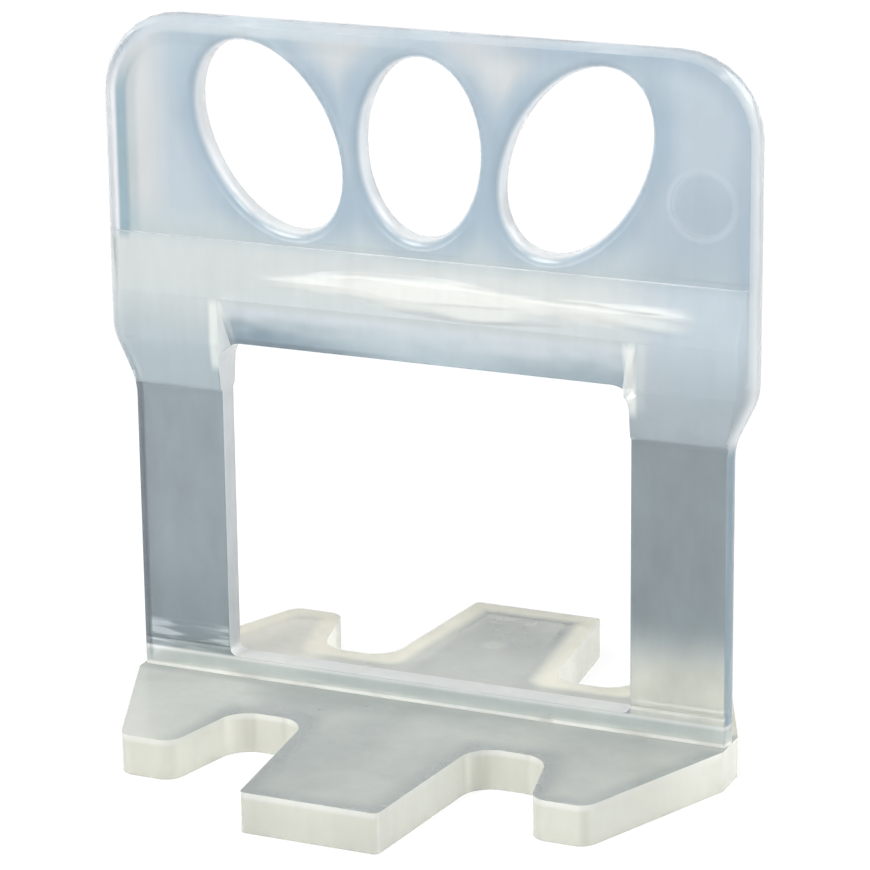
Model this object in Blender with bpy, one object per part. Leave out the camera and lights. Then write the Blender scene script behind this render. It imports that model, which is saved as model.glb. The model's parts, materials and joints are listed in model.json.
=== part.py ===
"""Tile levelling clip: one translucent moulding that stands on its base plate.

Two flat legs rise from a lobed base plate and carry a thick crossbar and a thin
head with three finger holes. The window between the legs takes a wedge, whose
pull on the crossbar clamps the tiles to the base plate. The legs snap off at a
groove just above the spacer rib when the floor has set.

X runs along the joint between the tiles, Y across it and Z up. The origin is
at the middle of the underside. The clip is the same on both faces and mirrored
left to right.
"""
import math

import bmesh
import bpy

MM = 0.001

# Plate that lies under the tiles
base_width = 40.0 * MM
base_thickness = 2.6 * MM
edge_depth_at_leg = 2.7 * MM
lobe_reach = 12.5 * MM
lobe_outer_half = 15.45 * MM
lobe_inner_half = 11.9 * MM
lobe_corner_radius = 1.2 * MM
leg_corner_radius = 0.3 * MM
notch_reach = 6.2 * MM
notch_outer_half = 10.5 * MM
notch_inner_half = 5.7 * MM
notch_radius = 2.0 * MM
tongue_reach = 18.1 * MM
tongue_end_half = 4.5 * MM
tongue_corner_radius = 0.4 * MM

# Legs, spacer rib and break line
joint_width = 1.5 * MM
rib_height = 1.35 * MM
leg_width = 6.28 * MM
break_height = 1.85 * MM
break_depth = 0.12 * MM
break_half_width = 0.18 * MM
rib_corner_radius = 0.6 * MM

# Window that the wedge goes through
window_height = 20.9 * MM
window_corner_radius = 1.3 * MM

# Thick part of the legs and crossbar
step_below_window = 3.25 * MM
step_ledge = 0.22 * MM
bar_thickness = 2.8 * MM
ridge_above_window = 2.95 * MM
bar_height = 6.65 * MM
bar_ledge = 0.12 * MM
lip_thickness = 1.4 * MM
recess_end_lean = 1.9 * MM
bar_belly_radius = 1.7 * MM
ridge_radius = 3.2 * MM

# Thin head above the crossbar
head_width = 43.1 * MM
head_thickness = 2.0 * MM
head_height = 13.95 * MM
head_corner_radius = 5.2 * MM
head_edge_radius = 0.35 * MM
shoulder_radius = 3.8 * MM

# Finger holes through the head
finger_hole_drop = 7.2 * MM
outer_hole_offset = 10.1 * MM
outer_hole_width = 8.3 * MM
outer_hole_length = 12.7 * MM
outer_hole_lean = math.radians(31.0)
middle_hole_width = 7.8 * MM
middle_hole_length = 11.2 * MM
hole_rim_radius = 0.7 * MM

# Round mark that an ejector pin leaves in the head
pin_mark_radius = 2.0 * MM
pin_mark_depth = 0.05 * MM
pin_mark_inset = 3.35 * MM
pin_mark_drop = 9.0 * MM

# Rounding of the edges and fineness of the curves
crown_spare = 0.06 * MM
crown_steps = 6
edge_round = 0.15 * MM
arc_steps = 8
rim_steps = 5
hole_sides = 48

# Heights and half sizes that follow from the sizes above
leg_outer = base_width / 2
window_half = leg_outer - leg_width
rib_top = base_thickness + rib_height
break_line = base_thickness + break_height
window_top = rib_top + window_height
step_line = window_top - step_below_window
ridge_line = window_top + ridge_above_window
crease_line = window_top + bar_height
head_top = crease_line + head_height
cut_reach = bar_thickness

clip_colour = (0.78, 0.83, 0.86, 1.0)
clip_roughness = 0.32


def clear_scene():
    """Remove what the scene holds, so that each run starts empty."""
    for item in list(bpy.data.objects):
        bpy.data.objects.remove(item, do_unlink=True)


def clip_material():
    """Milky, slightly blue natural plastic."""
    material = bpy.data.materials.new("clip_plastic")
    material.use_nodes = True
    shader = material.node_tree.nodes["Principled BSDF"]
    shader.inputs["Base Color"].default_value = clip_colour
    shader.inputs["Roughness"].default_value = clip_roughness
    shader.inputs["Metallic"].default_value = 0.0
    return material


def rounded(corners, steps=arc_steps):
    """Outline through (a, b, radius) corners, with each corner turned into an arc."""
    outline = []
    count = len(corners)
    for index, (a, b, radius) in enumerate(corners):
        before = corners[index - 1]
        after = corners[(index + 1) % count]
        to_before = (before[0] - a, before[1] - b)
        to_after = (after[0] - a, after[1] - b)
        length_before = math.hypot(*to_before)
        length_after = math.hypot(*to_after)
        unit_before = (to_before[0] / length_before, to_before[1] / length_before)
        unit_after = (to_after[0] / length_after, to_after[1] / length_after)
        dot = unit_before[0] * unit_after[0] + unit_before[1] * unit_after[1]
        half_angle = math.acos(max(-1.0, min(1.0, dot))) / 2
        if radius <= 0.0:
            outline.append((a, b))
            continue
        tangent = min(radius / math.tan(half_angle), 0.45 * length_before, 0.45 * length_after)
        arc_radius = tangent * math.tan(half_angle)
        middle = (unit_before[0] + unit_after[0], unit_before[1] + unit_after[1])
        middle_length = math.hypot(*middle)
        to_centre = arc_radius / math.sin(half_angle) / middle_length
        centre = (a + middle[0] * to_centre, b + middle[1] * to_centre)
        start = (a + unit_before[0] * tangent, b + unit_before[1] * tangent)
        turn = math.pi - 2 * half_angle
        cross = unit_before[0] * unit_after[1] - unit_before[1] * unit_after[0]
        sign = -1.0 if cross > 0.0 else 1.0
        spoke = (start[0] - centre[0], start[1] - centre[1])
        for step in range(steps + 1):
            angle = sign * turn * step / steps
            cos, sin = math.cos(angle), math.sin(angle)
            x = centre[0] + spoke[0] * cos - spoke[1] * sin
            y = centre[1] + spoke[0] * sin + spoke[1] * cos
            outline.append((x, y))
    return outline


def loft(name, rings):
    """Closed body through rings of points, capped at both ends."""
    mesh = bpy.data.meshes.new(name)
    bm = bmesh.new()
    loops = [[bm.verts.new(point) for point in ring] for ring in rings]
    sides = len(rings[0])
    for lower, upper in zip(loops, loops[1:]):
        for index in range(sides):
            following = (index + 1) % sides
            bm.faces.new((lower[index], lower[following], upper[following], upper[index]))
    bm.faces.new(list(reversed(loops[0])))
    bm.faces.new(loops[-1])
    bmesh.ops.recalc_face_normals(bm, faces=bm.faces)
    bm.to_mesh(mesh)
    bm.free()
    body = bpy.data.objects.new(name, mesh)
    bpy.context.scene.collection.objects.link(body)
    return body


def across(outline, depth):
    """A front outline in X and Z, extruded to both sides along Y."""
    return [[(x, y, z) for x, z in outline] for y in (-depth, depth)]


def inset(outline, distance):
    """The same outline moved inwards by a distance, point for point."""
    moved = []
    count = len(outline)
    for index, (a, b) in enumerate(outline):
        before = outline[index - 1]
        after = outline[(index + 1) % count]
        first = math.atan2(b - before[1], a - before[0])
        second = math.atan2(after[1] - b, after[0] - a)
        half_turn = math.remainder(second - first, 2 * math.pi) / 2
        heading = first + half_turn + math.pi / 2
        reach = distance / math.cos(half_turn)
        moved.append((a + reach * math.cos(heading), b + reach * math.sin(heading)))
    return moved


def crowned(outline, depth):
    """A front outline extruded along Y, with a rounded outer edge that is widest halfway."""
    bar_half = bar_thickness / 2
    crown_radius = bar_half + crown_spare
    rings = []
    for step in range(-crown_steps, crown_steps + 1):
        y = bar_half * math.sin(math.pi / 2 * step / crown_steps)
        drop = crown_radius - math.sqrt(crown_radius ** 2 - y ** 2)
        rings.append([(x, y, z) for x, z in inset(outline, drop)])
    front = [(x, -depth, z) for x, y, z in rings[0]]
    back = [(x, depth, z) for x, y, z in rings[-1]]
    return [front] + rings + [back]


def along(outline, reach):
    """A side profile in Y and Z, extruded to both sides along X."""
    return [[(x, y, z) for y, z in outline] for x in (-reach, reach)]


def base_outline():
    """Plan of the base: a waisted tongue between two lobes, front and back."""
    quarter = [
        (leg_outer, edge_depth_at_leg / 2, leg_corner_radius),
        (lobe_outer_half, lobe_reach, lobe_corner_radius),
        (lobe_inner_half, lobe_reach, lobe_corner_radius),
        (notch_outer_half, notch_reach, notch_radius),
        (notch_inner_half, notch_reach, notch_radius),
        (tongue_end_half, tongue_reach, tongue_corner_radius),
    ]
    back_right = quarter
    back_left = [(-x, y, r) for x, y, r in reversed(quarter)]
    front_left = [(-x, -y, r) for x, y, r in quarter]
    front_right = [(x, -y, r) for x, y, r in reversed(quarter)]
    return rounded(back_right + back_left + front_left + front_right)


def base_plate():
    """The plate under the tiles, standing on Z zero."""
    outline = base_outline()
    return loft("base_plate", [[(x, y, z) for x, y in outline] for z in (0.0, base_thickness)])


def frame_outline():
    """Front outline of legs, shoulders and head."""
    head_half = head_width / 2
    right = [
        (leg_outer, base_thickness / 2, 0.0),
        (leg_outer, step_line, shoulder_radius),
        (head_half, window_top, shoulder_radius),
        (head_half, head_top, head_corner_radius),
    ]
    left = [(-x, z, r) for x, z, r in reversed(right)]
    return rounded(right + left)


def side_profile():
    """Half thickness against height, the same on both faces."""
    leg_half = joint_width / 2
    bar_half = bar_thickness / 2
    head_half = head_thickness / 2
    foot_z = base_thickness / 2
    face = [
        (leg_half, foot_z, 0.0),
        (leg_half, break_line - break_half_width, 0.0),
        (leg_half - break_depth, break_line, 0.0),
        (leg_half, break_line + break_half_width, 0.0),
        (leg_half, step_line, 0.0),
        (leg_half + step_ledge, step_line + step_ledge, 0.0),
        (bar_half, window_top, bar_belly_radius),
        (bar_half, ridge_line, ridge_radius),
        (head_half + bar_ledge, crease_line, 0.0),
        (head_half, crease_line + bar_ledge / 2, 0.0),
        (head_half, head_top, head_edge_radius),
    ]
    other_face = [(-y, z, r) for y, z, r in reversed(face)]
    return rounded(face + other_face)


def window_outline():
    """Opening between the legs, from the spacer rib to the crossbar."""
    corners = [
        (window_half, rib_top, rib_corner_radius),
        (window_half, window_top, window_corner_radius),
        (-window_half, window_top, window_corner_radius),
        (-window_half, rib_top, rib_corner_radius),
    ]
    return rounded(corners)


def finger_hole(name, centre_x, width, length, lean):
    """Elliptical cutter whose ends flare, which rounds the rim on both faces."""
    centre_z = head_top - finger_hole_drop
    half_head = head_thickness / 2
    half_straight = half_head - hole_rim_radius
    section = []
    for step in range(rim_steps + 1):
        angle = math.pi / 2 * step / rim_steps
        grow = hole_rim_radius * (1 - math.cos(angle))
        section.append((half_straight + hole_rim_radius * math.sin(angle), grow))
    section.append((half_head + hole_rim_radius, hole_rim_radius))
    steps = [(-y, grow) for y, grow in reversed(section)] + section
    rings = []
    for y, grow in steps:
        ring = []
        for side in range(hole_sides):
            angle = 2 * math.pi * side / hole_sides
            short = (width / 2 + grow) * math.cos(angle)
            tall = (length / 2 + grow) * math.sin(angle)
            x = centre_x + short * math.cos(lean) - tall * math.sin(lean)
            z = centre_z + short * math.sin(lean) + tall * math.cos(lean)
            ring.append((x, y, z))
        rings.append(ring)
    return loft(name, rings)


def bar_recess(name, face):
    """Wedge-shaped cutter that thins the crossbar down to the lip that the wedge bears on."""
    outside = face * cut_reach
    ridge = face * bar_thickness / 2
    lip = face * lip_thickness / 2
    below = window_top - bar_height
    slope = (ridge - lip) / (ridge_line - window_top)
    deepest = lip - slope * (window_top - below)
    rings = []
    for end in (-1, 1):
        wide = end * window_half
        narrow = end * (window_half - recess_end_lean)
        rings.append([
            (wide, ridge, ridge_line),
            (wide, outside, ridge_line + (outside - ridge) / slope),
            (wide, outside, below),
            (narrow, deepest, below),
        ])
    return loft(name, rings)


def pin_mark():
    """Shallow round recess on the front of the head."""
    centre_x = head_width / 2 - pin_mark_inset
    centre_z = head_top - pin_mark_drop
    rings = []
    for y in (-cut_reach, pin_mark_depth - head_thickness / 2):
        ring = []
        for side in range(hole_sides):
            angle = 2 * math.pi * side / hole_sides
            x = centre_x + pin_mark_radius * math.cos(angle)
            z = centre_z + pin_mark_radius * math.sin(angle)
            ring.append((x, y, z))
        rings.append(ring)
    return loft("pin_mark", rings)


def combine(body, tool, operation):
    """Boolean with an exact solver; the tool stays as a hidden guide."""
    step = body.modifiers.new(tool.name, 'BOOLEAN')
    step.operation = operation
    step.object = tool
    step.solver = 'EXACT'
    tool.hide_render = True
    tool.display_type = 'WIRE'


def round_edges(body):
    """Small rounding that the mould leaves on every sharp edge."""
    step = body.modifiers.new("edge_round", 'BEVEL')
    step.width = edge_round
    step.segments = 2
    step.limit_method = 'ANGLE'
    step.angle_limit = math.radians(50.0)
    step.use_clamp_overlap = True


def levelling_clip():
    """The whole moulding as one body."""
    clip = loft("levelling_clip", crowned(frame_outline(), cut_reach))
    combine(clip, loft("side_profile", along(side_profile(), head_width)), 'INTERSECT')
    combine(clip, loft("window", across(window_outline(), cut_reach)), 'DIFFERENCE')
    for name, face in (("front_recess", -1), ("back_recess", 1)):
        combine(clip, bar_recess(name, face), 'DIFFERENCE')
    middle = finger_hole("middle_hole", 0.0, middle_hole_width, middle_hole_length, 0.0)
    combine(clip, middle, 'DIFFERENCE')
    for name, side in (("left_hole", -1), ("right_hole", 1)):
        lean = -side * outer_hole_lean
        hole = finger_hole(name, side * outer_hole_offset, outer_hole_width, outer_hole_length, lean)
        combine(clip, hole, 'DIFFERENCE')
    combine(clip, pin_mark(), 'DIFFERENCE')
    combine(clip, base_plate(), 'UNION')
    round_edges(clip)
    clip.data.materials.append(clip_material())
    clip.data.shade_smooth()
    clip.data.set_sharp_from_angle(angle=math.radians(35.0))
    return clip


clear_scene()
levelling_clip()
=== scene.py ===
"""Dressed view of the tile levelling clip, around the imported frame."""
import json
import math

import bmesh
import bpy
from mathutils import Matrix, Vector


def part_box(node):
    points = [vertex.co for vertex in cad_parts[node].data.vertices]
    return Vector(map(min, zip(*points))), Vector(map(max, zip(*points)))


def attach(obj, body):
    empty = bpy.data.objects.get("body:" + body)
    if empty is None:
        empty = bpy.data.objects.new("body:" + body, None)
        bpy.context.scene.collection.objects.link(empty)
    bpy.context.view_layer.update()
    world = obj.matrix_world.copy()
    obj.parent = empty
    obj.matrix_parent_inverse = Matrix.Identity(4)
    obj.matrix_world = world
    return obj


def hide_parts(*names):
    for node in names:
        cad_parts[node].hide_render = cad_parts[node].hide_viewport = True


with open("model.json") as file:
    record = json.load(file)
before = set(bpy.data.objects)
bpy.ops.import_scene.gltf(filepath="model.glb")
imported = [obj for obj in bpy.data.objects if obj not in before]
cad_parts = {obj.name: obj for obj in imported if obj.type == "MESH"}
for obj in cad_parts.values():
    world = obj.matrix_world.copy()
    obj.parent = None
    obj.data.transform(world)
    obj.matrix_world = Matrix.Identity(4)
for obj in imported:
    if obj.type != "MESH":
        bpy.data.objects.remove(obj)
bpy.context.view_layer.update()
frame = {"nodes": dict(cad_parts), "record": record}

MM = 0.001

# Camera, as it stood for the photograph
camera_yaw = math.radians(23.854)
camera_pitch = math.radians(17.094)
camera_roll = math.radians(-0.662)
camera_distance = 234.04 * MM
camera_target = Vector((0.509, 0.0, 20.163)) * MM
focal_length_pixels = 3794.6
image_pixels = 870.0
sensor_width = 36.0

# Heights and half widths of the clip in millimetres, which bound its zones of tone
high_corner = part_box("levelling_clip")[1] / MM
mount_height = {mount["name"]: mount["pos_m"][2] / MM for mount in frame["record"]["mounts"]}
head_half = high_corner.x
head_top = high_corner.z
base_top = mount_height["tile_seat_front"]
window_top = mount_height["wedge_face"]
rib_top = base_top + 1.35
crease = window_top + 6.65
ridge = window_top + 2.95
step_line = window_top - 3.25
window_half = 13.72
leg_half = 20.0
head_corner_radius = 5.2
hole_centre_height = head_top - 7.2
outer_hole_offset = 10.1
outer_hole_halves = (4.15, 6.35)
outer_hole_lean = math.radians(31.0)
middle_hole_halves = (3.9, 5.6)
pin_mark_x = head_half - 3.35
pin_mark_z = head_top - 9.0
pin_mark_radius = 2.0
back_mark_x = -0.2
back_mark_y = 10.7

# Corners of a quarter of the base's outline in millimetres, between its side and its tongue's end
tongue_end = high_corner.y
base_corners = ((leg_half, 1.35), (15.45, 12.5), (11.9, 12.5), (10.5, 6.2), (5.7, 6.2), (4.5, tongue_end))


def shown(red, green, blue):
    """Linear colour of a tone that is given as it shows, from 0 to 255."""
    def linear(value):
        share = value / 255
        return share / 12.92 if share <= 0.04045 else ((share + 0.055) / 1.055) ** 2.4
    return (linear(red), linear(green), linear(blue), 1.0)


# Limits in calls of rise and band are millimetres, or plain shares for facing and noise

# Tones of the head
head_tone = shown(179, 191, 199)
head_left_tone = shown(200, 202, 202)
head_foot_tone = shown(186, 196, 198)
# Painted light border along the head's left and top edges
head_border_light_tone = shown(226, 227, 230)
head_top_border_tone = shown(194, 203, 208)
# Painted blue shade in rings round the finger holes
hole_ring_shade_tone = shown(160, 177, 189)
# Painted light on the holes' walls
hole_wall_light_tone = shown(252, 253, 253)
# Painted shade strips inside the head's left and right edges
left_strip_shade_tone = shown(118, 148, 160)
right_strip_shade_tone = shown(160, 176, 188)
pin_mark_tone = shown(160, 174, 184)
pin_ring_tone = shown(196, 207, 214)
# Painted light on cut walls, greyer where they face up
side_wall_light_tone = shown(252, 253, 252)
top_wall_tone = shown(200, 208, 213)

# Tones of the crossbar and its recess over the window
bar_tone = shown(197, 202, 201)
bar_right_tone = shown(184, 195, 202)
# Painted highlight on the swell above the crossbar's ridge
ridge_highlight_tone = shown(236, 236, 229)
recess_top_tone = shown(206, 213, 216)
recess_left_tone = shown(134, 153, 164)
recess_middle_tone = shown(178, 192, 198)
recess_right_tone = shown(158, 172, 179)
# Painted light on the window's corner walls, and a painted shade line along its top edge
window_corner_light_tone = shown(240, 241, 234)
window_line_shade_tone = shown(122, 134, 144)

# Tones of the shoulders and legs
# Painted shade darkens the right shoulder, right leg and the feet; painted light and glints mark the feet
shoulder_tone = shown(169, 181, 186)
shoulder_right_shade_tone = shown(162, 172, 178)
leg_tone = shown(143, 153, 159)
leg_right_shade_tone = shown(133, 143, 147)
leg_foot_shade_tone = shown(132, 144, 149)
leg_foot_light_tone = shown(216, 218, 209)
# Painted light on the legs' inner walls, bluer on their outer walls
leg_wall_light_tone = shown(250, 252, 252)
leg_outer_wall_tone = shown(164, 186, 199)
# Painted shade line down the left leg's outer edge
leg_edge_shade_tone = shown(128, 136, 142)
leg_glint_tone = shown(200, 209, 212)

# Tones of the rib and base
rib_tone = shown(204, 211, 209)
rib_top_tone = shown(160, 164, 160)
# Painted highlight lines on the rib
rib_highlight_tone = shown(250, 251, 250)
base_top_tone = shown(162, 168, 166)
base_light_tone = shown(180, 184, 179)
base_lobe_tone = shown(202, 205, 199)
base_back_lobe_tone = shown(218, 217, 208)
# Painted refraction shade and light on the base top's rims
base_rim_shade_tone = shown(136, 145, 147)
base_rim_light_tone = shown(236, 233, 217)
# Painted light on the base's walls, with painted glints at their top edges
base_wall_light_tone = shown(252, 252, 240)
base_front_wall_light_tone = shown(224, 224, 213)
base_wall_glint_tone = shown(252, 252, 247)


def place_camera():
    """Pinhole camera at the photograph's angle."""
    away = Vector((
        math.sin(camera_yaw) * math.cos(camera_pitch),
        -math.cos(camera_yaw) * math.cos(camera_pitch),
        math.sin(camera_pitch),
    ))
    right = Vector((math.cos(camera_yaw), math.sin(camera_yaw), 0.0))
    up = away.cross(right)
    turned_right = right * math.cos(camera_roll) + up * math.sin(camera_roll)
    turned_up = up * math.cos(camera_roll) - right * math.sin(camera_roll)
    rotation = Matrix((turned_right, turned_up, away)).transposed()
    data = bpy.data.cameras.new("camera")
    data.sensor_width = sensor_width
    data.lens = focal_length_pixels * sensor_width / image_pixels
    data.clip_start = 0.01
    data.clip_end = 10.0
    camera = bpy.data.objects.new("camera", data)
    spot = camera_target + away * camera_distance
    camera.matrix_world = Matrix.Translation(spot) @ rotation.to_4x4()
    bpy.context.scene.collection.objects.link(camera)
    bpy.context.scene.camera = camera


def area_light(name, spot, aim, width, height, power):
    """Soft light panel aimed at a point, which the camera doesn't see."""
    data = bpy.data.lights.new(name, 'AREA')
    data.shape = 'RECTANGLE'
    data.size = width
    data.size_y = height
    data.energy = power
    lamp = bpy.data.objects.new(name, data)
    lamp.location = spot
    lamp.rotation_euler = (Vector(aim) - Vector(spot)).to_track_quat('-Z', 'Y').to_euler()
    lamp.visible_camera = False
    bpy.context.scene.collection.objects.link(lamp)


class Nodes:
    """Short calls that add nodes to one material's or world's tree."""

    def __init__(self, tree):
        self.tree = tree

    def add(self, kind, **settings):
        node = self.tree.nodes.new(kind)
        for name, value in settings.items():
            setattr(node, name, value)
        return node

    def feed(self, socket, value):
        if isinstance(value, bpy.types.NodeSocket):
            self.tree.links.new(value, socket)
        else:
            socket.default_value = value

    def maths(self, operation, *values):
        node = self.add("ShaderNodeMath", operation=operation)
        for socket, value in zip(node.inputs, values):
            self.feed(socket, value)
        return node.outputs[0]

    def length(self, across, along):
        """Length of the long side of a right triangle."""
        square = self.maths('MULTIPLY_ADD', across, across, self.maths('MULTIPLY', along, along))
        return self.maths('SQRT', square)

    def rise(self, value, low, high):
        """Smooth step from 0 at low to 1 at high, which may lie below low."""
        node = self.add("ShaderNodeMapRange", interpolation_type='SMOOTHSTEP')
        if low < high:
            limits = (low, high, 0.0, 1.0)
        else:
            limits = (high, low, 1.0, 0.0)
        self.feed(node.inputs["Value"], value)
        for name, limit in zip(("From Min", "From Max", "To Min", "To Max"), limits):
            node.inputs[name].default_value = limit
        return node.outputs["Result"]

    def band(self, value, low, high, soft):
        """1 between two values, with soft ends."""
        above_low = self.rise(value, low - soft, low)
        below_high = self.rise(value, high + soft, high)
        return self.maths('MULTIPLY', above_low, below_high)

    def both(self, *shares):
        """Product of shares."""
        result = shares[0]
        for share in shares[1:]:
            result = self.maths('MULTIPLY', result, share)
        return result

    def blend(self, share, first, second, most=1.0):
        """Colour between two, of which the second counts for most at a share of 1."""
        if most < 1.0:
            share = self.maths('MULTIPLY', share, most)
        node = self.add("ShaderNodeMix", data_type='RGBA')
        self.feed(node.inputs["Factor"], share)
        self.feed(node.inputs[6], first)
        self.feed(node.inputs[7], second)
        return node.outputs[2]

    def noise(self, vector, scale, detail, stretch=None):
        """Soft noise around 0.5, with the scale in waves per unit of the vector."""
        if stretch is not None:
            scaled = self.add("ShaderNodeVectorMath", operation='MULTIPLY')
            self.feed(scaled.inputs[0], vector)
            scaled.inputs[1].default_value = stretch
            vector = scaled.outputs[0]
        node = self.add("ShaderNodeTexNoise")
        self.feed(node.inputs["Vector"], vector)
        node.inputs["Scale"].default_value = scale
        node.inputs["Detail"].default_value = detail
        return node.outputs["Fac"]


def clear_rays(nodes):
    """1 for rays that see the background directly, in gloss or through the plastic."""
    path = nodes.add("ShaderNodeLightPath")
    direct = nodes.maths('MAXIMUM', path.outputs["Is Camera Ray"], path.outputs["Is Glossy Ray"])
    return nodes.maths('MAXIMUM', direct, path.outputs["Is Transmission Ray"])


def white_world():
    """White backdrop with a soft grey ambient light."""
    world = bpy.data.worlds.new("studio")
    world.use_nodes = True
    bpy.context.scene.world = world
    world.node_tree.nodes.clear()
    nodes = Nodes(world.node_tree)
    ambient = nodes.add("ShaderNodeBackground")
    ambient.inputs["Color"].default_value = (0.94, 0.97, 1.0, 1.0)
    ambient.inputs["Strength"].default_value = 0.55
    white = nodes.add("ShaderNodeBackground")
    white.inputs["Color"].default_value = (1.0, 1.0, 1.0, 1.0)
    white.inputs["Strength"].default_value = 1.0
    mix = nodes.add("ShaderNodeMixShader")
    nodes.feed(mix.inputs[0], clear_rays(nodes))
    nodes.feed(mix.inputs[1], ambient.outputs[0])
    nodes.feed(mix.inputs[2], white.outputs[0])
    out = nodes.add("ShaderNodeOutputWorld")
    nodes.feed(out.inputs["Surface"], mix.outputs[0])


def studio_floor():
    """Pale floor that shows as white and keeps the soft contact shadow."""
    half = 1.5
    gap_below_clip = 0.02 * MM
    glow_share = 0.8
    corners = [(-half, -half, 0), (half, -half, 0), (half, half, 0), (-half, half, 0)]
    mesh = bpy.data.meshes.new("floor")
    mesh.from_pydata(corners, [], [(0, 1, 2, 3)])
    floor = bpy.data.objects.new("floor", mesh)
    floor.location.z = -gap_below_clip
    bpy.context.scene.collection.objects.link(floor)
    material = bpy.data.materials.new("floor_white")
    material.use_nodes = True
    material.node_tree.nodes.clear()
    nodes = Nodes(material.node_tree)
    matte = nodes.add("ShaderNodeBsdfDiffuse")
    matte.inputs["Color"].default_value = (0.93, 0.93, 0.93, 1.0)
    glow = nodes.add("ShaderNodeEmission")
    glow.inputs["Strength"].default_value = 1.0
    mix = nodes.add("ShaderNodeMixShader")
    nodes.feed(mix.inputs[0], nodes.maths('MULTIPLY', clear_rays(nodes), glow_share))
    nodes.feed(mix.inputs[1], matte.outputs[0])
    nodes.feed(mix.inputs[2], glow.outputs[0])
    out = nodes.add("ShaderNodeOutputMaterial")
    nodes.feed(out.inputs["Surface"], mix.outputs[0])
    mesh.materials.append(material)


def hole_distance(nodes, x, z, centre_x, halves, lean):
    """Rough distance in millimetres from an elliptical hole's rim, outwards."""
    across = nodes.maths('SUBTRACT', x, centre_x)
    above = nodes.maths('SUBTRACT', z, hole_centre_height)
    cos, sin = math.cos(lean), math.sin(lean)
    short = nodes.maths('MULTIPLY_ADD', across, cos, nodes.maths('MULTIPLY', above, sin))
    tall = nodes.maths('MULTIPLY_ADD', across, -sin, nodes.maths('MULTIPLY', above, cos))
    short_share = nodes.maths('DIVIDE', short, halves[0])
    tall_share = nodes.maths('DIVIDE', tall, halves[1])
    past_rim = nodes.maths('SUBTRACT', nodes.length(short_share, tall_share), 1.0)
    mean_radius = (halves[0] + halves[1]) / 2
    return nodes.maths('MULTIPLY', past_rim, mean_radius)


def head_edge_distance(nodes, x_size, z):
    """Distance in millimetres from the head's outer edge, inwards."""
    beside = nodes.maths('SUBTRACT', x_size, head_half - head_corner_radius)
    above = nodes.maths('SUBTRACT', z, head_top - head_corner_radius)
    beside_out = nodes.maths('MAXIMUM', beside, 0.0)
    above_out = nodes.maths('MAXIMUM', above, 0.0)
    inside = nodes.maths('MINIMUM', nodes.maths('MAXIMUM', beside, above), 0.0)
    reach = nodes.maths('ADD', nodes.length(beside_out, above_out), inside)
    return nodes.maths('SUBTRACT', head_corner_radius, reach)


def segment_distance(nodes, x, y, start, end):
    """Distance in millimetres from a straight piece of an outline."""
    across, along = end[0] - start[0], end[1] - start[1]
    length_square = across * across + along * along
    from_x = nodes.maths('SUBTRACT', x, start[0])
    from_y = nodes.maths('SUBTRACT', y, start[1])
    share_y = nodes.maths('MULTIPLY', from_y, along / length_square)
    share = nodes.maths('MULTIPLY_ADD', from_x, across / length_square, share_y)
    share = nodes.maths('MINIMUM', nodes.maths('MAXIMUM', share, 0.0), 1.0)
    off_x = nodes.maths('MULTIPLY_ADD', share, -across, from_x)
    off_y = nodes.maths('MULTIPLY_ADD', share, -along, from_y)
    return nodes.length(off_x, off_y)


def outline_distance(nodes, x_size, y_size):
    """Distance in millimetres from the base's outline, inwards."""
    from_side = nodes.maths('SUBTRACT', leg_half, x_size)
    from_end = nodes.maths('SUBTRACT', tongue_end, y_size)
    nearest = nodes.maths('MINIMUM', from_side, from_end)
    for start, end in zip(base_corners, base_corners[1:]):
        to_segment = segment_distance(nodes, x_size, y_size, start, end)
        nearest = nodes.maths('MINIMUM', nearest, to_segment)
    return nearest


def head_tones(nodes, x, x_size, z, drift, front):
    """Light patches, rings of painted blue shade round the finger holes, the pin mark and the edges' strips
    of painted refraction.
    """
    to_left_hole = hole_distance(nodes, x, z, -outer_hole_offset, outer_hole_halves, outer_hole_lean)
    to_middle_hole = hole_distance(nodes, x, z, 0.0, middle_hole_halves, 0.0)
    to_right_hole = hole_distance(nodes, x, z, outer_hole_offset, outer_hole_halves, -outer_hole_lean)
    to_hole = nodes.maths('MINIMUM', nodes.maths('MINIMUM', to_left_hole, to_middle_hole), to_right_hole)
    ring_reach = nodes.maths('ADD', to_hole, drift)

    # Light patches at the left and between the holes
    at_left = nodes.rise(nodes.maths('MULTIPLY_ADD', drift, 0.4, x), -16.4, -18.8)
    tone = nodes.blend(at_left, head_tone, head_left_tone)
    between_holes = nodes.both(
        nodes.rise(x_size, 9.5, 5.5),
        nodes.rise(z, hole_centre_height + 1.0, hole_centre_height + 5.0),
        nodes.rise(ring_reach, 0.6, 2.6),
    )
    tone = nodes.blend(between_holes, tone, head_left_tone, most=0.9)
    tone = nodes.blend(nodes.rise(z, crease + 3.0, crease), tone, head_foot_tone)

    # Rings of painted blue shade round the holes, weaker at the head's foot and under its top edge
    above_foot = nodes.rise(z, crease - 0.5, crease + 2.5)
    below_rim = nodes.rise(z, head_top - 0.8, head_top - 3.6)
    ring = nodes.both(
        nodes.rise(ring_reach, 2.7, 0.4),
        nodes.maths('MULTIPLY_ADD', above_foot, 0.6, 0.4),
        nodes.maths('MULTIPLY_ADD', below_rim, 0.6, 0.4),
    )
    tone = nodes.blend(ring, tone, hole_ring_shade_tone)
    tone = pin_mark_tones(nodes, tone, x, z, front)
    return head_edge_tones(nodes, tone, x, x_size, z)


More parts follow.
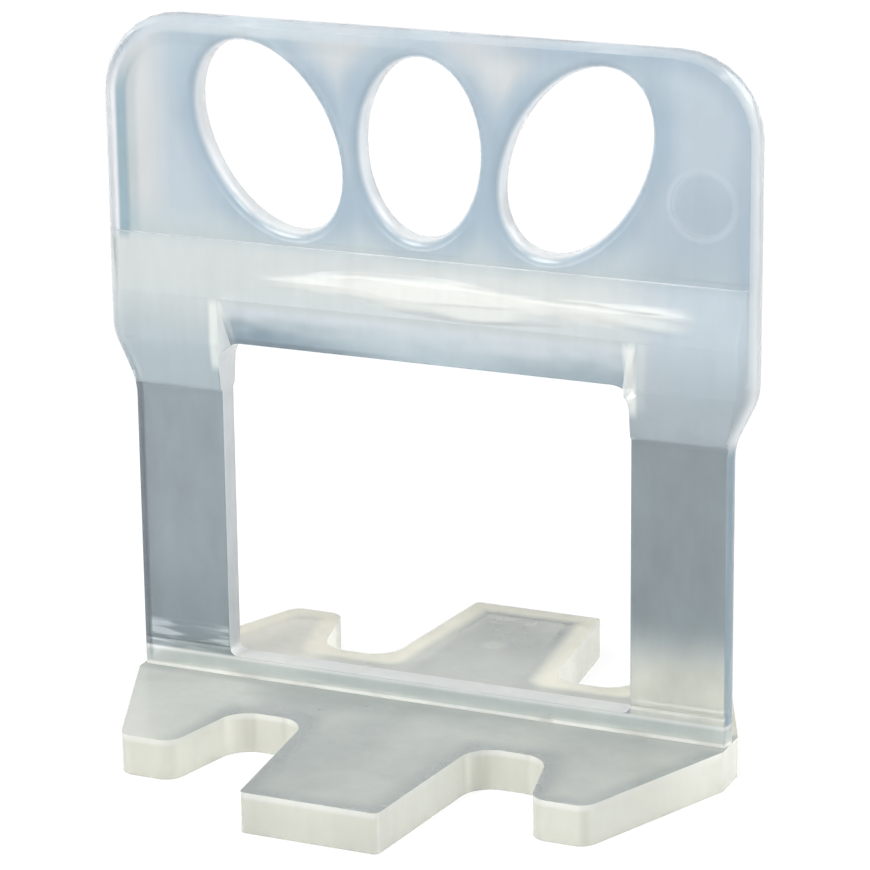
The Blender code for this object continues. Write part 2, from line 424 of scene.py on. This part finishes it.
def pin_mark_tones(nodes, tone, x, z, front):
    """Ejector pin's round mark at the right, in a slightly darker surrounding."""
    across = nodes.maths('SUBTRACT', x, pin_mark_x)
    above = nodes.maths('SUBTRACT', z, pin_mark_z)
    from_pin = nodes.length(across, above)
    surrounding = nodes.both(
        nodes.rise(x, 11.0, 17.0),
        nodes.rise(z, hole_centre_height + 2.0, hole_centre_height - 3.0),
    )
    in_mark = nodes.both(nodes.rise(from_pin, pin_mark_radius + 0.1, pin_mark_radius - 0.5), front)
    on_ring = nodes.both(nodes.band(from_pin, pin_mark_radius, pin_mark_radius + 0.1, 0.3), front)
    tone = nodes.blend(surrounding, tone, pin_mark_tone, most=0.6)
    tone = nodes.blend(in_mark, tone, pin_mark_tone, most=0.3)
    return nodes.blend(on_ring, tone, pin_ring_tone, most=0.35)


def head_edge_tones(nodes, tone, x, x_size, z):
    """Painted refraction at the head's edges: a light border and dark strip inside the left edge, a soft
    dark strip inside the right one.
    """
    to_edge = head_edge_distance(nodes, x_size, z)
    below_top = nodes.rise(z, head_top - 2.0, head_top - 5.5)
    on_left = nodes.rise(x, 2.0, -6.0)
    left_strip_shade = nodes.both(
        nodes.band(to_edge, 1.25, 1.6, 0.4),
        on_left,
        nodes.maths('MULTIPLY_ADD', below_top, 0.85, 0.1),
    )
    tone = nodes.blend(left_strip_shade, tone, left_strip_shade_tone)
    right_strip_shade = nodes.both(nodes.rise(to_edge, 2.0, 0.4), nodes.rise(x, 2.0, 8.0))
    tone = nodes.blend(right_strip_shade, tone, right_strip_shade_tone, most=0.8)
    painted_border_tone = nodes.blend(below_top, head_top_border_tone, head_border_light_tone)
    in_painted_border = nodes.both(nodes.rise(to_edge, 1.15, 0.85), on_left)
    return nodes.blend(in_painted_border, tone, painted_border_tone)


def leg_tones(nodes, spot, x, z, height):
    """Shoulders over dark legs, with painted shade on the right side and at the feet, painted light of the
    base through the right foot and painted glints in wisps over the left foot.
    """
    on_left = nodes.rise(x, 0.0, -1.0)
    on_right = nodes.rise(x, -1.0, 1.0)
    tone = nodes.blend(on_right, leg_tone, leg_right_shade_tone)
    tone = nodes.blend(nodes.rise(height, 12.0, 5.0), tone, leg_foot_shade_tone)
    right_foot_light = nodes.both(on_right, nodes.rise(height, 10.6, 5.4))
    tone = nodes.blend(right_foot_light, tone, leg_foot_light_tone)
    glint_wisps = nodes.rise(nodes.noise(spot, 0.8, 2.0, stretch=(0.25, 1.0, 2.2)), 0.48, 0.62)
    left_foot_glints = nodes.both(on_left, nodes.band(z, rib_top + 0.4, rib_top + 1.6, 0.5), glint_wisps)
    tone = nodes.blend(left_foot_glints, tone, leg_glint_tone)
    shoulder = nodes.blend(on_right, shoulder_tone, shoulder_right_shade_tone)
    return nodes.blend(nodes.rise(z, step_line - 0.25, step_line + 0.35), tone, shoulder)


def recess_tones(nodes, spot, x, z):
    """Recess over the window, light at its top, with uneven darker tones below."""
    low_tone = nodes.blend(nodes.rise(x, -11.0, -2.0), recess_left_tone, recess_middle_tone)
    low_tone = nodes.blend(nodes.rise(x, 2.0, 9.0), low_tone, recess_right_tone)
    unevenness = 2.4
    clouds = nodes.noise(spot, 0.5, 1.0, stretch=(0.6, 1.0, 1.4))
    lowered = nodes.maths('SUBTRACT', z, unevenness / 2)
    uneven_height = nodes.maths('MULTIPLY_ADD', clouds, unevenness, lowered)
    low = nodes.rise(uneven_height, window_top + 2.9, window_top + 0.3)
    return nodes.blend(low, recess_top_tone, low_tone)


def frame_tones(nodes, spot, x, x_size, z, drift):
    """Crossbar, shoulders and legs, darker downwards with painted shade and lightest above the ridge with a
    painted highlight.
    """
    height = nodes.maths('MULTIPLY_ADD', drift, 0.5, z)
    tone = leg_tones(nodes, spot, x, z, height)
    bar = nodes.blend(nodes.rise(x, 11.0, 17.0), bar_tone, bar_right_tone)
    tone = nodes.blend(nodes.rise(height, window_top - 1.5, ridge + 1.2), tone, bar)

    # Recess with a painted shade line along the window, and painted light on the corner walls beside it
    in_window = nodes.rise(x_size, window_half + 0.15, window_half - 0.15)
    in_recess = nodes.both(in_window, nodes.rise(z, ridge, ridge - 0.7))
    tone = nodes.blend(in_recess, tone, recess_tones(nodes, spot, x, z))
    # Painted shade line along the window's top edge
    on_shade_line = nodes.both(
        in_window,
        nodes.rise(z, window_top + 0.45, window_top + 0.2),
        nodes.rise(x, 2.0, -10.0),
    )
    tone = nodes.blend(on_shade_line, tone, window_line_shade_tone, most=0.8)
    # Painted highlight along the swell above the ridge, over the real bump's gloss
    on_painted_highlight = ridge_swell_and_highlight(nodes, spot, x, z, 2.0)
    tone = nodes.blend(on_painted_highlight, tone, ridge_highlight_tone, most=0.65)
    # Painted light on the corner walls beside the window
    in_lit_corner = nodes.both(
        nodes.band(x_size, window_half - 0.2, window_half + 0.3, 0.35),
        nodes.band(z, window_top - 1.2, ridge - 0.6, 0.8),
    )
    tone = nodes.blend(in_lit_corner, tone, window_corner_light_tone, most=0.75)

    # Painted shade line down the left leg's outer edge
    on_leg_edge_shade = nodes.both(
        nodes.rise(x_size, leg_half - 0.8, leg_half - 0.5),
        nodes.rise(z, step_line + 0.1, step_line),
        nodes.rise(x, 0.0, -1.0),
    )
    return nodes.blend(on_leg_edge_shade, tone, leg_edge_shade_tone)


def ridge_swell_and_highlight(nodes, spot, x, z, detail):
    """Share of the uneven swell above the crossbar's ridge, thin at its left end; it shapes both the bump
    and the painted highlight there.
    """
    streak_height = ridge + 1.55
    unevenness = 1.4
    streak = nodes.noise(spot, 0.6, detail, stretch=(0.22, 1.0, 1.5))
    from_middle = nodes.maths('ABSOLUTE', nodes.maths('SUBTRACT', z, streak_height))
    thinner_right = nodes.maths('MULTIPLY', nodes.rise(x, 3.0, 9.0), 0.5)
    swollen = nodes.maths('SUBTRACT', nodes.rise(x, -9.0, -1.0), thinner_right)
    half_height = nodes.maths('MULTIPLY_ADD', swollen, 0.6, 0.05)
    shifted = nodes.maths('ADD', from_middle, unevenness / 2)
    beyond = nodes.maths('SUBTRACT', nodes.maths('MULTIPLY_ADD', streak, -unevenness, shifted), half_height)
    return nodes.both(
        nodes.rise(beyond, 0.5, 0.0),
        nodes.rise(x, -11.5, -7.0),
        nodes.rise(x, 18.5, 15.0),
    )


def base_top_tones(nodes, spot, x, y):
    """Grey top with a light left side, painted shade on the front rims and painted light on the back rims.
    """
    clouds = nodes.noise(spot, 0.18, 1.0)
    tone = nodes.blend(nodes.rise(clouds, 0.35, 0.72), base_top_tone, base_light_tone)
    in_front = nodes.rise(y, -1.0, -2.0)
    at_back = nodes.rise(y, 1.0, 2.0)
    front_lobe = nodes.both(nodes.rise(x, -9.0, -13.0), in_front)
    tone = nodes.blend(front_lobe, tone, base_lobe_tone)
    back_lobe = nodes.both(nodes.rise(x, -9.0, -10.5), at_back)
    tone = nodes.blend(back_lobe, tone, base_back_lobe_tone, most=0.8)

    # Painted refraction along the outline: shade on the front rims and a rear line, light on the back rims
    to_outline = outline_distance(nodes, nodes.maths('ABSOLUTE', x), nodes.maths('ABSOLUTE', y))
    rim_shade = nodes.both(nodes.rise(to_outline, 1.7, 0.1), in_front, nodes.rise(x, -14.0, -10.0))
    tone = nodes.blend(rim_shade, tone, base_rim_shade_tone, most=0.6)
    rear_line = nodes.both(nodes.band(to_outline, 1.7, 1.9, 0.25), nodes.rise(y, 11.0, 14.0))
    tone = nodes.blend(rear_line, tone, base_rim_shade_tone, most=0.7)
    rim_light = nodes.both(nodes.rise(to_outline, 1.7, 0.8), at_back)
    tone = nodes.blend(rim_light, tone, base_rim_light_tone, most=0.85)

    # Faint light mark on the back tongue
    across = nodes.maths('SUBTRACT', x, back_mark_x)
    along = nodes.maths('SUBTRACT', y, back_mark_y)
    in_mark = nodes.rise(nodes.length(across, along), 1.2, 0.3)
    return nodes.blend(in_mark, tone, base_lobe_tone, most=0.5)


def base_tones(nodes, spot, x, y, z, facing_front, up_facing):
    """Base plate with walls in painted cream light and painted glints along their top edges, and the pale
    spacer rib with painted highlight lines at its foot and edge.
    """
    on_top = nodes.rise(up_facing, 0.4, 0.9)
    # Painted light on the walls, with painted glints along their top edges
    wall = nodes.blend(facing_front, base_wall_light_tone, base_front_wall_light_tone)
    wall_glint = nodes.rise(z, base_top - 0.5, base_top - 0.2)
    wall = nodes.blend(wall_glint, wall, base_wall_glint_tone, most=0.6)
    tone = nodes.blend(on_top, wall, base_top_tones(nodes, spot, x, y))
    rib = nodes.blend(on_top, rib_tone, rib_top_tone)
    tone = nodes.blend(nodes.rise(z, base_top + 0.05, base_top + 0.2), tone, rib)
    # Painted highlight lines at the rib's foot and top edge
    foot_line = nodes.band(z, base_top + 0.1, base_top + 0.2, 0.08)
    edge_line = nodes.both(
        nodes.rise(z, rib_top - 0.35, rib_top - 0.1),
        nodes.rise(up_facing, 0.95, 0.8),
    )
    return nodes.blend(nodes.maths('MAXIMUM', foot_line, edge_line), tone, rib_highlight_tone, most=0.8)


def lit_wall_tones(nodes, x_size, z, up_facing):
    """Cut walls, painted as the lightest parts with painted light, because light leaves the plastic there;
    walls facing up are painted greyer.
    """
    tone = nodes.blend(nodes.rise(up_facing, 0.3, 0.8), side_wall_light_tone, top_wall_tone)
    in_holes = nodes.both(
        nodes.rise(x_size, head_half - 1.5, head_half - 2.5),
        nodes.rise(z, head_top - 1.0, head_top - 1.4),
        nodes.rise(z, crease, crease + 0.1),
    )
    tone = nodes.blend(in_holes, tone, hole_wall_light_tone)
    leg_wall = nodes.blend(nodes.rise(x_size, 16.0, 18.0), leg_wall_light_tone, leg_outer_wall_tone)
    return nodes.blend(nodes.rise(z, step_line + 0.6, step_line - 0.6), tone, leg_wall)


def clip_plastic():
    """Milky natural plastic, with painted blue shade round the holes and painted cream light where light
    leaves its cut edges.
    """
    material = bpy.data.materials.new("clip_plastic")
    material.use_nodes = True
    nodes = Nodes(material.node_tree)
    shader = material.node_tree.nodes["Principled BSDF"]
    coordinates = nodes.add("ShaderNodeTexCoord")
    scaled = nodes.add("ShaderNodeVectorMath", operation='SCALE')
    nodes.feed(scaled.inputs[0], coordinates.outputs["Object"])
    scaled.inputs["Scale"].default_value = 1 / MM
    spot = scaled.outputs[0]
    split = nodes.add("ShaderNodeSeparateXYZ")
    nodes.feed(split.inputs[0], spot)
    x, y, z = split.outputs
    x_size = nodes.maths('ABSOLUTE', x)
    facing = nodes.add("ShaderNodeSeparateXYZ")
    nodes.feed(facing.inputs[0], coordinates.outputs["Normal"])
    facing_back = facing.outputs[1]
    up_facing = facing.outputs[2]
    face_on = nodes.maths('ABSOLUTE', facing_back)
    drift_width = 2.4
    drift = nodes.maths('MULTIPLY_ADD', nodes.noise(spot, 0.2, 1.0), drift_width, -drift_width / 2)

    # Tones from the head down to the base
    head = head_tones(nodes, x, x_size, z, drift, nodes.rise(facing_back, -0.3, -0.6))
    below_head = frame_tones(nodes, spot, x, x_size, z, drift)
    tone = nodes.blend(nodes.rise(z, crease - 0.7, crease + 0.3), below_head, head)
    # Painted light on the cut walls, by which way they face
    wall = lit_wall_tones(nodes, x_size, z, up_facing)
    tone = nodes.blend(nodes.rise(face_on, 0.85, 0.3), tone, wall)
    base = base_tones(nodes, spot, x, y, z, nodes.rise(facing_back, -0.4, -0.9), up_facing)
    tone = nodes.blend(nodes.rise(z, rib_top + 0.1, rib_top - 0.1), tone, base)

    # Soft clouds, stronger in the legs, and fine flow lines of the moulding
    usual_clouds = 0.12
    added_leg_clouds = 0.2
    flow_contrast = 0.05
    cloud = nodes.noise(spot, 0.7, 2.0, stretch=(1.0, 1.0, 0.45))
    flow = nodes.noise(spot, 1.0, 1.0, stretch=(2.2, 2.2, 0.12))
    in_legs = nodes.band(z, rib_top + 0.2, step_line - 0.3, 0.3)
    cloud_share = nodes.maths('MULTIPLY_ADD', in_legs, added_leg_clouds, usual_clouds)
    clouded = nodes.maths('MULTIPLY', nodes.maths('SUBTRACT', cloud, 0.5), cloud_share)
    flowing = nodes.maths('MULTIPLY_ADD', flow, flow_contrast, 1.0 - flow_contrast / 2)
    strength = nodes.maths('ADD', clouded, flowing)
    tinted = nodes.add("ShaderNodeVectorMath", operation='SCALE')
    nodes.feed(tinted.inputs[0], tone)
    nodes.feed(tinted.inputs["Scale"], strength)
    nodes.feed(shader.inputs["Base Color"], tinted.outputs[0])

    # Satin skin, part clear and part milky
    least_roughness = 0.12
    clouded_roughness = nodes.maths('MULTIPLY_ADD', cloud, 0.1, least_roughness)
    nodes.feed(shader.inputs["Roughness"], nodes.maths('MULTIPLY_ADD', flow, 0.08, clouded_roughness))
    shader.inputs["Transmission Weight"].default_value = 0.65
    shader.inputs["IOR"].default_value = 1.49
    shader.inputs["Subsurface Weight"].default_value = 0.25
    shader.inputs["Subsurface Radius"].default_value = (1.0, 1.1, 1.2)
    shader.inputs["Subsurface Scale"].default_value = 1.2 * MM

    # Swell above the crossbar's ridge and shallow waves
    swell_height = 0.1 * MM
    wave_share = 0.15
    bump = nodes.add("ShaderNodeBump")
    bump.inputs["Strength"].default_value = 1.0
    bump.inputs["Distance"].default_value = swell_height
    swell = ridge_swell_and_highlight(nodes, spot, x, z, 0.0)
    waves = nodes.noise(spot, 1.4, 0.0)
    nodes.feed(bump.inputs["Height"], nodes.maths('MULTIPLY_ADD', waves, wave_share, swell))
    nodes.feed(shader.inputs["Normal"], bump.outputs[0])
    return material


def smooth_mesh():
    """Copy of the clip's own mesh, joined up, with sharp edges where it turns sharply."""
    weld = 0.001 * MM
    mark_reach = (pin_mark_radius + 0.6) * MM
    mark_limit = math.radians(3.0)
    usual_limit = math.radians(40.0)
    mesh = frame["nodes"]["levelling_clip"].data.copy()
    mesh.name = "clip_moulding"
    bm = bmesh.new()
    bm.from_mesh(mesh)
    bmesh.ops.remove_doubles(bm, verts=bm.verts, dist=weld)
    bmesh.ops.dissolve_degenerate(bm, edges=bm.edges, dist=weld)
    for face in bm.faces:
        face.smooth = True
    for edge in bm.edges:
        middle = (edge.verts[0].co + edge.verts[1].co) / 2
        from_mark = math.hypot(middle.x - pin_mark_x * MM, middle.z - pin_mark_z * MM)
        limit = mark_limit if from_mark < mark_reach else usual_limit
        edge.smooth = edge.calc_face_angle(0.0) < limit
    bm.to_mesh(mesh)
    bm.free()
    if "custom_normal" in mesh.attributes:
        mesh.attributes.remove(mesh.attributes["custom_normal"])
    return mesh


def moulding():
    """The clip with smooth shading over its small roundings."""
    mesh = smooth_mesh()
    piece = bpy.data.objects.new("clip_moulding", mesh)
    bpy.context.scene.collection.objects.link(piece)
    even = piece.modifiers.new("even_shading", 'WEIGHTED_NORMAL')
    even.mode = 'FACE_AREA_WITH_ANGLE'
    even.weight = 90
    even.keep_sharp = True
    mesh.materials.clear()
    mesh.materials.append(clip_plastic())
    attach(piece, "root")
    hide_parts("levelling_clip")


place_camera()
white_world()
studio_floor()
area_light("key", (-0.12, -0.25, 0.42), (0.0, 0.0, 0.02), 0.25, 0.25, 2.2)
area_light("glint", (0.20, -0.24, 0.40), (0.0, 0.0, 0.03), 0.1, 0.1, 0.5)
area_light("strip", (-0.135, -0.32, 0.075), (0.0, 0.0, 0.028), 0.26, 0.1, 0.33)
area_light("back", (0.25, 0.25, 0.25), (0.0, 0.0, 0.02), 0.25, 0.25, 1.0)
moulding()

bpy.context.scene.view_settings.view_transform = 'Standard'
